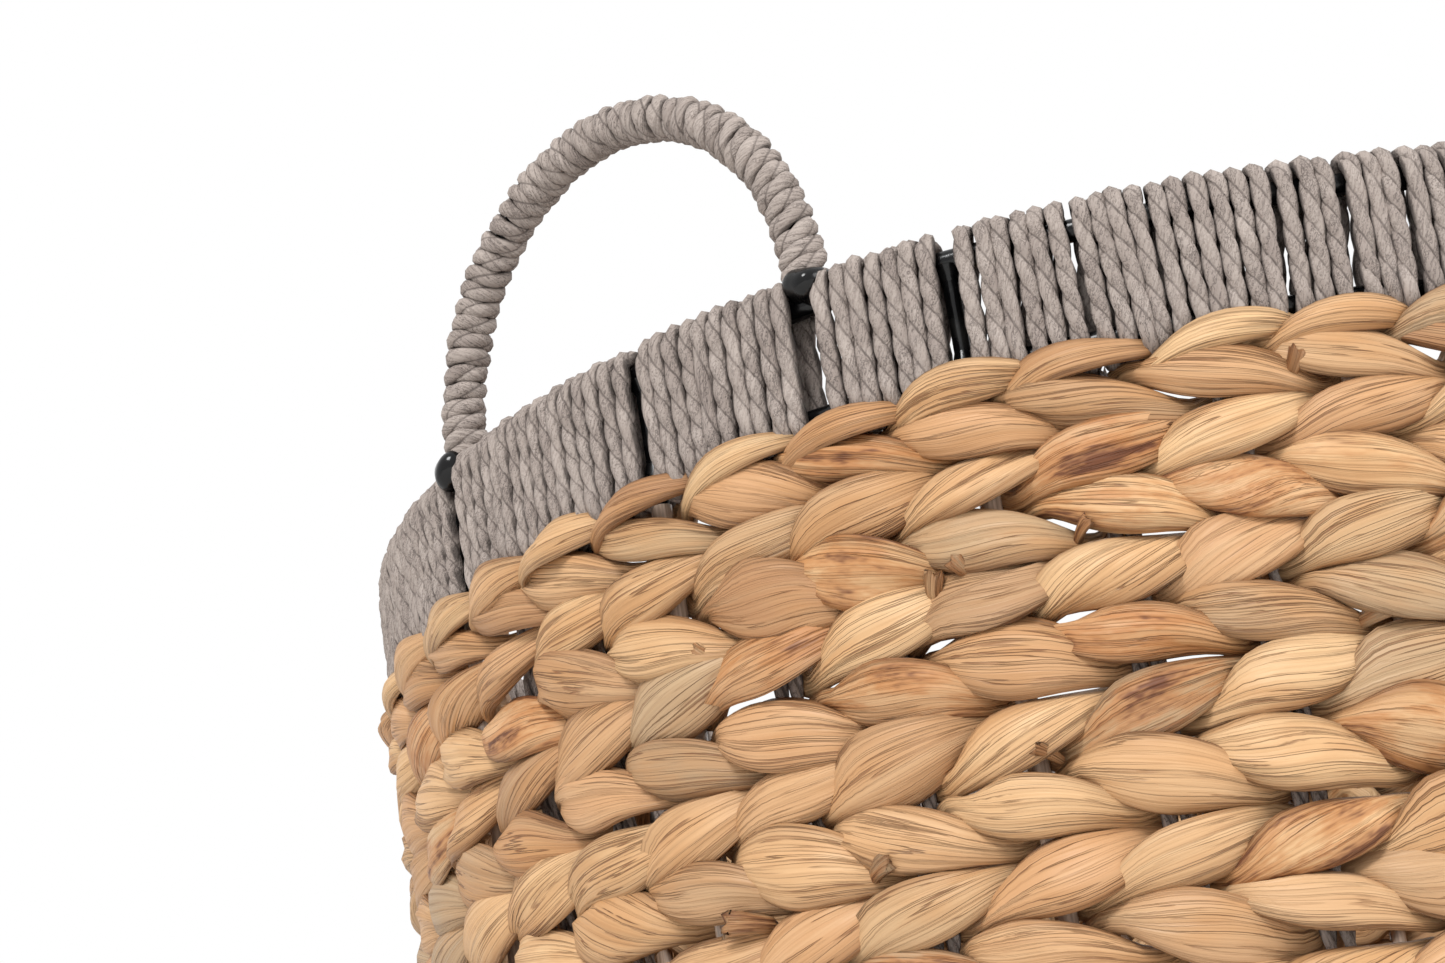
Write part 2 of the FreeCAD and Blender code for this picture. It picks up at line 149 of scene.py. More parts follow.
def tubes_piece(name, tubes, material, slot, *nodes):
    """Makes one piece of closed tubes.

    Each tube's lie turns how far along and how far round, both from 0 to 1, into points, the turn of the
    grain and the tone.
    """
    bm = bmesh.new()
    ends = [0]
    for tube in tubes:
        bmesh.ops.create_grid(bm, x_segments=tube["steps"], y_segments=tube["around"], size=0.5)
        ends.append(len(bm.verts))
    mesh = bpy.data.meshes.new(name)
    bm.to_mesh(mesh)
    bm.free()

    flat = read(mesh.vertices, "co", 3)
    points, grain, tone = np.empty_like(flat), np.empty_like(flat), np.ones((len(flat), 4))
    along, turn = np.empty(len(flat)), np.empty(len(flat))
    owner = np.repeat(np.arange(len(tubes)), np.diff(ends))
    for n, tube in enumerate(tubes):
        mine = slice(ends[n], ends[n + 1])
        along[mine] = np.round((flat[mine, 0] + 0.5) * tube["steps"]) / tube["steps"]
        turn[mine] = np.round((flat[mine, 1] + 0.5) * tube["around"]) / tube["around"]
        points[mine], roll, tone[mine] = tube["lie"](along[mine], turn[mine] % 1)
        angle = TAU * turn[mine] + roll
        reach = tube["girth"] / TAU
        grain[mine] = np.stack(
            [along[mine] * tube["length"] + tube["offset"], reach * np.cos(angle), reach * np.sin(angle)], 1
        )
    mesh.vertices.foreach_set("co", points.ravel())

    corner = read(mesh.loops, "vertex_index", 1, np.int32)
    strips = np.array([tube["strips"] for tube in tubes])
    first = np.concatenate([[0], np.cumsum(strips)])
    whose = owner[corner].reshape(-1, 4)[:, 0]
    middle = along[corner].reshape(-1, 4).mean(1)
    strip = np.minimum(np.floor(middle * strips[whose]), strips[whose] - 1)
    column = np.repeat(strip, 4)
    row = np.repeat(first[whose] + strip, 4)
    # Each strip keeps a small margin to the next one on the bake sheet.
    u = along[corner] * strips[owner[corner]] - column
    v = (row + 0.05 + 0.9 * turn[corner]) / first[-1]
    sheet = mesh.uv_layers.new(name="OFBake")
    sheet.data.foreach_set("uv", np.stack([0.004 + 0.992 * u, v], 1).ravel())
    lies = mesh.attributes.new("grain", "FLOAT_VECTOR", "CORNER")
    lies.data.foreach_set("vector", grain[corner].ravel())
    tones = mesh.attributes.new("tone", "FLOAT_COLOR", "CORNER")
    tones.data.foreach_set("color", tone[corner].ravel())

    bm = bmesh.new()
    bm.from_mesh(mesh)
    bmesh.ops.remove_doubles(bm, verts=bm.verts, dist=1e-6)
    bmesh.ops.recalc_face_normals(bm, faces=bm.faces)
    for face in bm.faces:
        face.smooth = True
    bm.to_mesh(mesh)
    bm.free()
    mesh.materials.append(material)
    piece = bpy.data.objects.new(name, mesh)
    bpy.context.scene.collection.objects.link(piece)
    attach(piece, "root")
    if nodes:
        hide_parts(*nodes)


def tube(steps, around, length, girth, lie, strips=1):
    """A closed tube.

    It has its faces along and around, its real length and girth, and its strips on the bake sheet.
    """
    return {
        "steps": steps,
        "around": around,
        "length": length,
        "girth": girth,
        "lie": lie,
        "strips": strips,
        "offset": rng.uniform(0, 40),
    }


# ---------------------------------------------------------------- water hyacinth, twined


def wall_spot(height, drift):
    """Where a strand is on the wall: how far round in stakes, how far out, how far up."""

    def spot(s, out, side):
        angle = post_turn + s * STAKE_ANGLE
        r = ring_radius + out
        return np.stack([r * np.cos(angle), r * np.sin(angle), height + side + drift(angle)], -1)

    return spot


def floor_spot(radius, stakes):
    """The same on the floor, where out is down and up is outwards."""

    def spot(s, out, side):
        angle = post_turn + s * TAU / stakes
        r = radius + side
        return np.stack([r * np.cos(angle), r * np.sin(angle), floor_z - out + 0 * angle], -1)

    return spot


def strand(spot, stakes, phase, lean, style):
    """One of the two strands of a row.

    It passes outside every second stake as a flat leaf-like segment, and inside the others as a narrow one.
    """
    segments = stakes // 2
    # What each segment has of its own: its width, its height in the row, how it is turned and curled over,
    # its lumps, where its tips are, a groove, the twist of its grain and its place along the row. Then its
    # colour: how ripe the stalk was, how faded it is and how stained.
    size = np.clip(rng.normal(1, 0.13, segments), 0.82, 1.17)
    shift = np.clip(rng.normal(0, 1, segments), -1.2, 1.2) * style["uneven"]
    roll = rng.normal(0, 0.2, segments)
    curl = rng.normal(0, 0.4, segments)
    lump = rng.normal(0, 0.1, (4, segments))
    peak = rng.normal(0, 0.07, (2, segments))
    slant = rng.uniform(0, TAU, (4, segments))
    groove = rng.uniform(0.2, 0.8, segments) * math.pi
    depth = np.clip(rng.normal(0.14, 0.14, segments), 0, 0.4)
    twist = rng.normal(0, 0.6, segments)
    skew = rng.normal(0, 0.08, segments)
    stalk = rng.uniform(0, 1)
    hue = np.clip(stalk + rng.normal(0, 0.3, segments), 0, 1)
    age = np.clip(rng.beta(1.1, 2.6, segments), 0, 1)
    stain = rng.uniform(0, 1, segments)

    def path(s):
        t = (s - phase + 1) % 2 - 1
        x = (s - phase + 1) / 2
        t = t + blended(skew, x) * (1 - t * t)
        sweep = np.cos(math.pi * eased(t, style["rise"], style["dive"]))
        bulge = hump(t, -0.1, 0.75, 0.75)
        reach = np.where(sweep > 0, style["out"], style["inside"])
        rise = np.sin(math.pi * eased(t, 0.74, 0.72))
        side = lean * style["climb"] * rise + blended(shift, x) + style["lift"] * (bulge - 0.5)
        return t, x, bulge, spot(s, reach * sweep, side)

    def lie(along, turn):
        s = along * stakes
        t, x, bulge, middle = path(s)
        ahead = unit(path(s + 0.02)[3] - path(s - 0.02)[3])
        outward = spot(s, 1, 0) - spot(s, 0, 0)
        outward = unit(outward - ahead * share(outward, ahead))
        sideways = np.cross(outward, ahead)
        fat = blended(size, x)
        inner = hump((t + 2) % 2 - 1, 0, 0.42, 0.42)
        angle = TAU * turn
        head = np.clip(0.54 + 2.2 * blended(peak[1], x), 0.42, 0.72)
        above = hump(t, -0.2 + blended(peak[0], x), head, style["tail"])
        below = hump(t, 0.02 + blended(peak[1], x), 0.75, 0.85 * style["tail"])
        leaf = np.where(np.cos(angle) > 0, above, below)
        wide = style["narrow"] + (style["wide"] * fat - style["narrow"]) * leaf + style["inner"] * inner
        thick = style["thin"] + (style["thick"] - style["thin"]) * bulge
        ridges = sum(blended(lump[n], x) * np.cos((n + 3) * angle + blended(slant[n], x)) for n in range(4))
        ridges = ridges - blended(depth, x) * np.exp(-(((angle - blended(groove, x)) / 0.3) ** 2))
        tip = blended(roll, x) + blended(curl, x) * t
        c = wide * np.cos(angle) * (1 + 0.3 * ridges)
        d = thick * np.sin(angle) * (0.55 + 0.45 * np.abs(np.sin(angle))) * (1 + ridges)
        points = middle
        points = points + sideways * (c * np.cos(tip) - d * np.sin(tip))[:, None]
        points = points + outward * (c * np.sin(tip) + d * np.cos(tip))[:, None]
        points[:, 2] = np.maximum(points[:, 2], 0)
        # The last tone is how near a point is to the folded edges, which the material darkens: partly their
        # own brown, partly painted shade.
        edge = np.abs(np.cos(angle)) ** 6
        tone = np.stack([blended(hue, x), blended(age, x), blended(stain, x), edge], 1)
        return points, blended(twist, x) * t, tone

    return lie


def style_of(base, **sizes):
    """A way of weaving, as another one with some of its sizes in millimetres changed."""
    return dict(base, **{name: size * MM for name, size in sizes.items()})


# Where in a half turn a strand comes out and goes in again, and how long its lower tip is, all as shares.
SHARES = {"rise": 0.74, "dive": 0.60, "tail": 1.0}
# How far a strand stands outside and inside the stakes, how far it climbs to each side and how far its middle
# is lifted; its half widths where it is outside, where it crosses and what it gains inside; its half
# thicknesses; and how far the segments shift up and down.
WALL = style_of(
    SHARES, out=6.5, inside=5.4, climb=5.3, lift=0, wide=7.6, narrow=2.2, inner=2.0, thick=3.4, thin=2.2,
    uneven=0.9,
)
EDGE = style_of(WALL, out=9.0, inside=7.6, climb=3.6, lift=2.5, wide=5.2, narrow=1.7, thick=2.4, thin=1.8)
EDGE["tail"] = 0.8
BORDER = style_of(WALL, wide=6.4, climb=3.6, uneven=0.3)
FLOOR = style_of(WALL, out=3.6, inside=3.6, wide=8.8, narrow=4.2, inner=4.0, thick=2.3, thin=1.8, uneven=0.5)
FLOOR_EDGE = style_of(FLOOR, wide=12.0, narrow=9.0, uneven=0.3)
SAMPLES = 10  # rings of points from one stake to the next
AROUND = 16  # points in each ring
STRAND_GIRTH = 30 * MM  # round a strand, which sets how fine its grain is


def row_of(spot, stakes, lean, style, length, samples=SAMPLES):
    """The two strands of one row."""
    lies = [strand(spot, stakes, phase, lean, style) for phase in (0, 1)]
    return [tube(stakes * samples, AROUND, length, STRAND_GIRTH, lie, strips=4) for lie in lies]


def loose_end(degrees, height, lean, size):
    """A cut end or knot of a strand that pokes out between two segments, flattened and bent over."""
    angle = math.radians(degrees)
    radial = np.array([math.cos(angle), math.sin(angle), 0])
    level = np.array([-math.sin(angle), math.cos(angle), 0])
    up = np.array([0, 0, 1])
    aim = level * math.cos(lean) + up * math.sin(lean)
    curl = rng.uniform(-0.5, 0.9)
    hue, age = rng.uniform(0, 1), rng.uniform(0.2, 0.8)
    notch = rng.uniform(0, TAU)

    def lie(along, turn):
        f = np.minimum(along * 1.125, 1)
        bend = f * 1.5
        out = (ring_radius + (1 + 8.2 * np.sin(np.minimum(bend, 1.57)) - curl * 3 * f * f) * MM)[:, None]
        go = ((f - 0.35) * size)[:, None]
        middle = radial * out + aim * go + up * (height + curl * 2.5 * MM * f * f)[:, None]
        ahead = unit(aim * (0.35 + f)[:, None] + radial * (1 - f)[:, None])
        outward = unit(radial - ahead * share(radial, ahead))
        sideways = np.cross(outward, ahead)
        angle = TAU * turn
        shut = np.where(along > 0.999, 0, 1) * np.where(along < 0.001, 0, 1)
        wide = (0.2 + 0.16 * f + 0.07 * np.cos(3 * angle + notch) * f) * size * shut
        thick = (1.4 - 0.7 * f) * MM * shut
        ragged = 0.16 * size * f * f * np.cos(4 * angle + notch) * shut
        points = middle + ahead * ragged[:, None]
        points = points + sideways * (wide * np.cos(angle))[:, None]
        points = points + outward * (thick * np.sin(angle))[:, None]
        zero = 0 * along
        tone = np.stack([zero + hue, zero + age, zero + 0.9, 0.4 + 0.6 * f], 1)
        return points, zero, tone

    return tube(9, 14, 2 * size, 22 * MM, lie)


# ---------------------------------------------------------------- paper cord, two plies


TINTS = 64  # tints along a cord, one each 6 mm, before they come round again
TINT_STEP = 6 * MM


def plied(path, length, lay, ply, spread, phase, flat, pale):
    """One ply of a twisted cord that follows path(distance), which gives its middle and the way it faces."""
    tints = rng.uniform(pale, 1, TINTS + 1)
    tints[-1] = tints[0]
    # Both plies of a cord have the same length, so they get the same wobble in their twist.
    knots = np.arange(0, length + 60 * MM, 22 * MM)
    twist = np.random.default_rng(round(length / MM)).normal(0, 0.9, len(knots))

    def lie(along, turn):
        d = along * length
        middle, outward = path(d)
        ahead = unit(path(d + 0.2 * MM)[0] - path(d - 0.2 * MM)[0])
        outward = unit(outward - ahead * share(outward, ahead))
        beside = np.cross(outward, ahead)
        wind = TAU * d / lay + phase + np.interp(d, knots, twist)
        close = np.clip(np.minimum(d, length - d) / (2 * ply), 0, 1) ** 0.5
        angle = TAU * turn
        up = spread * np.cos(wind) + ply * close * np.cos(angle)
        along_side = spread * np.sin(wind) + ply * close * np.sin(angle)
        points = middle + outward * (flat * up)[:, None] + beside * along_side[:, None]
        tint = np.interp(d / TINT_STEP % TINTS, np.arange(TINTS + 1), tints)
        # Side and valley carry painted shade: the material darkens the cord's sides, where turns meet, and
        # where the plies face each other.
        side = np.abs(along_side) / (spread + ply)
        valley = 0.5 - 0.5 * np.cos(angle - wind)
        return points, wind, np.stack([tint, side, 0 * tint, valley], 1)

    return lie


def cord(path, length, step, lay, ply, spread, around=6, strips=4, flat=0.85, pale=0):
    """Both plies of a cord.

    Lay is the length of one twist, ply a ply's radius and spread how far off the middle it is.
    """
    plies = [plied(path, length, lay, ply, spread, phase, flat, pale) for phase in (0, math.pi)]
    return [tube(max(8, round(length / step)), around, length, 6.3 * ply, lie, strips) for lie in plies]


# ---------------------------------------------------------------- materials


def shade(code):
    """An sRGB hex colour as linear RGBA."""
    parts = [int(code[i : i + 2], 16) / 255 for i in (1, 3, 5)]
    return [p / 12.92 if p <= 0.04045 else ((p + 0.055) / 1.055) ** 2.4 for p in parts] + [1]


def add(tree, kind, inputs=(), **settings):
    """Adds a node, with its settings, and its inputs as values or as sockets to link."""
    node = tree.nodes.new(kind)
    for key, value in settings.items():
        setattr(node, key, value)
    for key, value in dict(inputs).items():
        if isinstance(value, bpy.types.NodeSocket):
            tree.links.new(value, node.inputs[key])
        else:
            node.inputs[key].default_value = value
    return node


def finish_of(name, **values):
    """A new material: its tree and its surface shader, with the even values set on the shader's sockets."""
    material = bpy.data.materials.new(name)
    material.use_nodes = True
    surface = material.node_tree.nodes["Principled BSDF"]
    for key, value in values.items():
        surface.inputs[key.replace("_", " ")].default_value = value
    return material, material.node_tree, surface


def stretched(tree, vector, scale, detail, rough=0.55):
    """Noise along the grain: scale is how many per metre along and across."""
    along, wide = scale
    grid = add(tree, "ShaderNodeMapping", {"Vector": vector, "Scale": (along, wide, wide)})
    inputs = {"Vector": grid.outputs[0], "Scale": 1, "Detail": detail, "Roughness": rough}
    return add(tree, "ShaderNodeTexNoise", inputs).outputs["Fac"]


def window(tree, value, low, high, bottom=0.0, top=1.0):
    """Cuts a band out of a pattern, with soft ends."""
    return add(
        tree,
        "ShaderNodeMapRange",
        {"Value": value, "From Min": low, "From Max": high, "To Min": bottom, "To Max": top},
        interpolation_type="SMOOTHSTEP",
    ).outputs[0]


def mixed(tree, factor, a, b):
    """Colour a, turning into colour b as the factor goes to 1."""
    return add(tree, "ShaderNodeMix", {0: factor, 6: a, 7: b}, data_type="RGBA").outputs[2]


def sums(tree, how, a, b):
    """A sum of two values, such as ADD or MULTIPLY."""
    return add(tree, "ShaderNodeMath", {0: a, 1: b}, operation=how).outputs[0]


def line_of(tree, pattern, width):
    """Thin lines where a pattern crosses its middle."""
    gap = sums(tree, "ABSOLUTE", sums(tree, "SUBTRACT", pattern, 0.5), 0)
    return window(tree, gap, 0.0, width, 1, 0)


def water_hyacinth():
    """Water hyacinth, stems dried in the sun and flattened.

    A satin, leaf-like skin, tan to straw, wrinkled and veined all along it, with rusty stains.
    """
    material, tree, surface = finish_of("dried_water_hyacinth", Specular_IOR_Level=0.35)
    grain = add(tree, "ShaderNodeAttribute", attribute_name="grain").outputs["Vector"]
    tone = add(tree, "ShaderNodeAttribute", attribute_name="tone")
    tones = add(tree, "ShaderNodeSeparateColor", {"Color": tone.outputs["Color"]})
    hue, age, stain = tones.outputs[0], tones.outputs[1], tones.outputs[2]
    edge = tone.outputs["Alpha"]
    # Their sizes along and across the grain: clouds 40 by 9 mm, streaks 80 by 2 mm, veins 100 by 0.7 mm,
    # wrinkles 110 by 2.6 mm, finer ones 110 by 1.1 mm, folds 110 by 8 mm and, below, rusty spots 30 by 5 mm.
    clouds = stretched(tree, grain, (25, 110), 3)
    streak = stretched(tree, grain, (12, 460), 3)
    veins = stretched(tree, grain, (10, 1500), 2)
    wrinkle = stretched(tree, grain, (9, 380), 3, 0.6)
    finer = stretched(tree, grain, (9, 900), 2, 0.6)
    fold = stretched(tree, grain, (9, 130), 2)
    straw = mixed(tree, window(tree, hue, 0.05, 0.95), shade("#dbb486"), shade("#c99b70"))
    straw = mixed(tree, window(tree, stain, 0.04, 0.16, 0.75, 0), straw, shade("#a4744e"))
    beige = mixed(tree, window(tree, age, 0.3, 0.75, 0, 0.9), straw, shade("#a98f70"))
    warm = mixed(tree, window(tree, clouds, 0.4, 0.7, 0, 0.7), beige, shade("#bd8a59"))
    pale = mixed(tree, window(tree, streak, 0.45, 0.75, 0, 0.2), warm, shade("#e3c79e"))
    veined = mixed(tree, window(tree, veins, 0.45, 0.7, 0, 0.26), pale, shade("#976a42"))
    # Thin dark lines along the grain: partly the stem's own dark fibre lines, partly painted shade in the
    # creases that the bump carves.
    crease = sums(tree, "MULTIPLY", line_of(tree, wrinkle, 0.014), window(tree, clouds, 0.4, 0.58, 0.15, 1))
    hair = sums(tree, "MULTIPLY", line_of(tree, finer, 0.027), window(tree, fold, 0.38, 0.62, 0.15, 0.9))
    lines = sums(tree, "MAXIMUM", crease, hair)
    creased = mixed(tree, sums(tree, "MULTIPLY", lines, 0.68), veined, shade("#6b3a1a"))
    spots = stretched(tree, grain, (34, 190), 4, 0.7)
    stained = window(tree, stain, 0.82, 0.9)
    fringe = sums(tree, "MULTIPLY", window(tree, spots, 0.42, 0.56, 0, 0.55), stained)
    core = sums(tree, "MULTIPLY", window(tree, spots, 0.54, 0.66, 0, 0.85), stained)
    rusty = mixed(tree, fringe, creased, shade("#ad6a30"))
    rusty = mixed(tree, core, rusty, shade("#582a18"))
    # Darker along each segment's folded edges: partly their own darker brown, partly painted shade where they
    # tuck against the next row. On the loose ends it grows towards the tip.
    rim = sums(tree, "MULTIPLY", edge, window(tree, clouds, 0.3, 0.6, 0.3, 0.8))
    dark_and_shaded_edges = mixed(tree, rim, rusty, shade("#7c5230"))
    tree.links.new(dark_and_shaded_edges, surface.inputs["Base Color"])
    tree.links.new(window(tree, veins, 0.3, 0.7, 0.44, 0.62), surface.inputs["Roughness"])
    relief = sums(tree, "MULTIPLY", fold, 2.0)
    relief = sums(tree, "ADD", relief, sums(tree, "MULTIPLY", wrinkle, 1.0))
    relief = sums(tree, "SUBTRACT", relief, sums(tree, "MULTIPLY", lines, 0.38))
    relief = sums(tree, "ADD", relief, sums(tree, "MULTIPLY", veins, 0.35))
    bump = add(tree, "ShaderNodeBump", {"Height": relief, "Strength": 1.0, "Distance": 1.0 * MM})
    tree.links.new(bump.outputs[0], surface.inputs["Normal"])
    return material


def paper_cord():
    """Kraft paper twisted into cord and dyed warm grey: matte, crumpled, with dark creases along each ply,
    and painted shade between the two plies and along its sides, where the turns meet.
    """
    material, tree, surface = finish_of("twisted_kraft_paper", Specular_IOR_Level=0.25)
    grain = add(tree, "ShaderNodeAttribute", attribute_name="grain").outputs["Vector"]
    tone = add(tree, "ShaderNodeAttribute", attribute_name="tone")
    tones = add(tree, "ShaderNodeSeparateColor", {"Color": tone.outputs["Color"]})
    tint, side = tones.outputs[0], tones.outputs[1]
    # Painted shade: valley darkens where the two plies face each other, and groove darkens the cord's sides,
    # where neighbouring turns meet.
    valley = window(tree, tone.outputs["Alpha"], 0.52, 0.64, 0, 0.85)
    groove = window(tree, side, 0.66, 0.9, 0, 0.75)
    # Their sizes along and across a ply: crumples 13 by 1.3 mm, fibres 17 by 0.5 mm and clouds 33 by 17 mm.
    crumple = stretched(tree, grain, (75, 800), 4, 0.62)
    fibre = stretched(tree, grain, (60, 1900), 2)
    clouds = stretched(tree, grain, (30, 60), 2)
    base = mixed(tree, window(tree, clouds, 0.35, 0.7), shade("#aca098"), shade("#978b84"))
    base = mixed(tree, window(tree, tint, 0.5, 1.0, 0, 0.5), base, shade("#c0b4ac"))
    rubbed = mixed(tree, window(tree, fibre, 0.42, 0.7, 0, 0.55), base, shade("#867a74"))
    crease = sums(tree, "MULTIPLY", line_of(tree, crumple, 0.036), window(tree, clouds, 0.3, 0.6, 0.4, 1))
    ply_valley_shade = sums(tree, "MULTIPLY", valley, window(tree, clouds, 0.35, 0.6, 0.55, 1))
    crease = sums(tree, "MAXIMUM", crease, ply_valley_shade)
    lined = mixed(tree, sums(tree, "MULTIPLY", crease, 0.75), rubbed, shade("#3a322f"))
    lined = mixed(tree, groove, lined, shade("#332c29"))
    tree.links.new(lined, surface.inputs["Base Color"])
    tree.links.new(window(tree, crumple, 0.3, 0.7, 0.72, 0.9), surface.inputs["Roughness"])
    relief = sums(tree, "ADD", sums(tree, "MULTIPLY", crumple, 1.1), sums(tree, "MULTIPLY", fibre, 0.25))
    bump = add(tree, "ShaderNodeBump", {"Height": relief, "Strength": 0.9, "Distance": 0.8 * MM})
    tree.links.new(bump.outputs[0], surface.inputs["Normal"])
    return material


def black_enamel():
    """Mild steel wire, dipped in black stoving enamel: deep gloss with a slight orange peel."""
    material, tree, surface = finish_of(
        "black_stoving_enamel", Specular_IOR_Level=0.25, Coat_Weight=0.2, Coat_Roughness=0.08
    )
    place = add(tree, "ShaderNodeTexCoord").outputs["Object"]
    # The peel is 1.1 mm from one dimple to the next, and the dusty patches are 6 mm.
    peel = add(tree, "ShaderNodeTexNoise", {"Vector": place, "Scale": 900, "Detail": 2}).outputs["Fac"]
    dust = add(tree, "ShaderNodeTexNoise", {"Vector": place, "Scale": 160, "Detail": 4}).outputs["Fac"]
    colour = mixed(tree, window(tree, dust, 0.5, 0.75), shade("#070708"), shade("#151413"))
    tree.links.new(colour, surface.inputs["Base Color"])
    tree.links.new(window(tree, dust, 0.35, 0.7, 0.16, 0.34), surface.inputs["Roughness"])
    bump = add(tree, "ShaderNodeBump", {"Height": peel, "Strength": 0.25, "Distance": 0.2 * MM})
    tree.links.new(bump.outputs[0], surface.inputs["Normal"])
    return material


def sleeve_plastic():
    """Soft PVC sleeve, extruded: milky and pinkish, with long gloss lines; its colour is striped lighter and
    darker along them as painted highlight stripes.
    """
    material, tree, surface = finish_of("extruded_milky_pvc", Coat_Weight=0.5, Coat_Roughness=0.1)
    place = add(tree, "ShaderNodeTexCoord").outputs["Object"]
    # The lines are 0.7 mm wide and 50 mm long.
    drawn = add(tree, "ShaderNodeMapping", {"Vector": place, "Scale": (1400, 1400, 20)}).outputs[0]
    lines = add(tree, "ShaderNodeTexNoise", {"Vector": drawn, "Scale": 1, "Detail": 2}).outputs["Fac"]
    # Painted highlight stripes: the colour turns lighter and darker along the gloss lines.
    colour = mixed(tree, window(tree, lines, 0.35, 0.7), shade("#c9b3a1"), shade("#9a8474"))
    tree.links.new(colour, surface.inputs["Base Color"])
    tree.links.new(window(tree, lines, 0.3, 0.7, 0.16, 0.34), surface.inputs["Roughness"])
    return material


def pale_floor():
    """A matt white studio sweep."""
    material, tree, surface = finish_of("painted_studio_floor", Roughness=0.9)
    place = add(tree, "ShaderNodeTexCoord").outputs["Object"]
    mottle = add(tree, "ShaderNodeTexNoise", {"Vector": place, "Scale": 3, "Detail": 3}).outputs["Fac"]
    tree.links.new(mixed(tree, mottle, shade("#e9e8e6"), shade("#efeeec")), surface.inputs["Base Color"])
    return material


hyacinth = water_hyacinth()
paper = paper_cord()
enamel = black_enamel()
plastic = sleeve_plastic()

# ---------------------------------------------------------------- the steel frame and its sleeves

STEEL = (
    "top_rim_ring", "lower_rim_ring", "rim_posts", "side_wires", "hub_disc", "handle_wire_right",
    "handle_wire_left", "rim_post_welds", "side_wire_welds",
)
for node in STEEL:
    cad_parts[node].material_slots[0].material = enamel
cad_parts["side_wire_sleeves"].material_slots[0].material = plastic

# ---------------------------------------------------------------- the wall

# The first rows below the rim, in millimetres: how far each lies under the rim's top, and its half width. The
# rest of the wall goes on evenly, as wide as the last of them.
ROW_DROPS = (48, 61, 75.2, 88.8, 104, 120.3, 137, 154)
ROW_WIDTHS = (6.7, 7.7, 8.8, 8.8, 8.6, 9.0, 9.0, 9.0)
EDGE_DROP = 40.5 * MM
WALL_ROWS = 27
rim_z = top_high.z + 2.9 * MM
last_low, last_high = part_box("wall_row_%02d" % WALL_ROWS)
last_z = (last_low.z + last_high.z) / 2
row_heights = [rim_z - drop * MM for drop in ROW_DROPS]
row_heights += list(np.linspace(row_heights[-1], last_z, WALL_ROWS - len(ROW_DROPS) + 1)[1:])
wall_length = TAU * ring_radius * 1.06  # a strand winds in and out, so it is longer than the rim


def wall_row(number):
    """Row 0 is the narrow edge row against the rim; the rows lean left and right in turn."""
    lean = 1 if number % 2 == 0 else -1
    if number == 0:
        return row_of(wall_spot(rim_z - EDGE_DROP, wander(3, 0.3 * MM)), STAKES, lean, EDGE, wall_length)
    drift = wander(5, 0.9 * MM)
    style = dict(WALL, wide=ROW_WIDTHS[min(number, len(ROW_WIDTHS)) - 1] * MM, dive=0.6 if lean > 0 else 0.7)
    return row_of(wall_spot(row_heights[number - 1], drift), STAKES, lean, style, wall_length)


# Cut ends and knots that show, each by its turn from the post line in degrees, its height in millimetres, its
# lean in radians and its size in millimetres. The rest of the wall has some at random.
LOOSE_ENDS = (
    (183.4, 417, 2.6, 7), (198.5, 414, 1.2, 7), (200.9, 418, 2.2, 6), (207.6, 421, 0.5, 5),
    (221.2, 449, 1.0, 6), (222.6, 390, 0.1, 8), (191.9, 357, 0.2, 9), (183.6, 354, 2.9, 9),
    (203.8, 373, 2.4, 5),
)
loose = [loose_end(d + math.degrees(post_turn), z * MM, lean, size * MM) for d, z, lean, size in LOOSE_ENDS]
for d in rng.uniform(235, 540, 30):
    loose.append(loose_end(d, rng.uniform(40, 440) * MM, rng.uniform(-0.5, 3.6), rng.uniform(5, 8) * MM))

for first in range(0, WALL_ROWS + 1, 2):
    name = "weave_%02d" % (first // 2 + 1)
    nodes = ["wall_row_%02d" % n for n in (first, first + 1) if n]
    tubes_piece(name, wall_row(first) + wall_row(first + 1), hyacinth, "water_hyacinth", *nodes)
tubes_piece("weave_loose_ends", loose, hyacinth, "water_hyacinth")

# ---------------------------------------------------------------- the floor

border_low, border_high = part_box("base_row_01")
border = wall_spot((border_low.z + border_high.z) / 2, wander(3, 0.1 * MM))
border_tubes = row_of(border, STAKES, 1, BORDER, wall_length)
tubes_piece("floor_border", border_tubes, hyacinth, "water_hyacinth", "base_row_01")

BASE_ROWS = 12
ROW_REACH = 8.7 * MM  # from a base row's outer edge to the middle of its strands
CLOSE_RADIUS = 125 * MM  # the paper stakes end here, and the rows further in go round the spokes alone
floor_tubes = {"floor_outer": [], "floor_inner": []}
floor_nodes = {"floor_outer": [], "floor_inner": []}
for number in range(2, BASE_ROWS + 1):
    node = "base_row_%02d" % number
    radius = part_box(node)[1].x - ROW_REACH + (2.5 * MM if number == 2 else 0)
    style = FLOOR_EDGE if number == 2 else FLOOR
    stakes = STAKES if radius > CLOSE_RADIUS else SPOKES
    samples = int(np.clip(round(TAU * radius / stakes / (3.2 * MM)), 6, 12))
    name = "floor_outer" if stakes == STAKES else "floor_inner"
    lean = 1 if number % 2 else -1
    floor_tubes[name] += row_of(floor_spot(radius, stakes), stakes, lean, style, TAU * radius, samples)
    floor_nodes[name].append(node)
for name, tubes in floor_tubes.items():
    tubes_piece(name, tubes, hyacinth, "water_hyacinth", *floor_nodes[name])

# ---------------------------------------------------------------- the rim's wrapping

# For each cord: a ply's radius, how far it lies off the cord's middle and the length of one twist.
WRAP_PLY, WRAP_SPREAD, WRAP_LAY = 1.95 * MM, 0.62 * MM, 17 * MM
WRAP_PITCH = 4.35 * MM  # from one turn round the rings to the next
WRAP_STEP = 2.1 * MM  # from one ring of points to the next
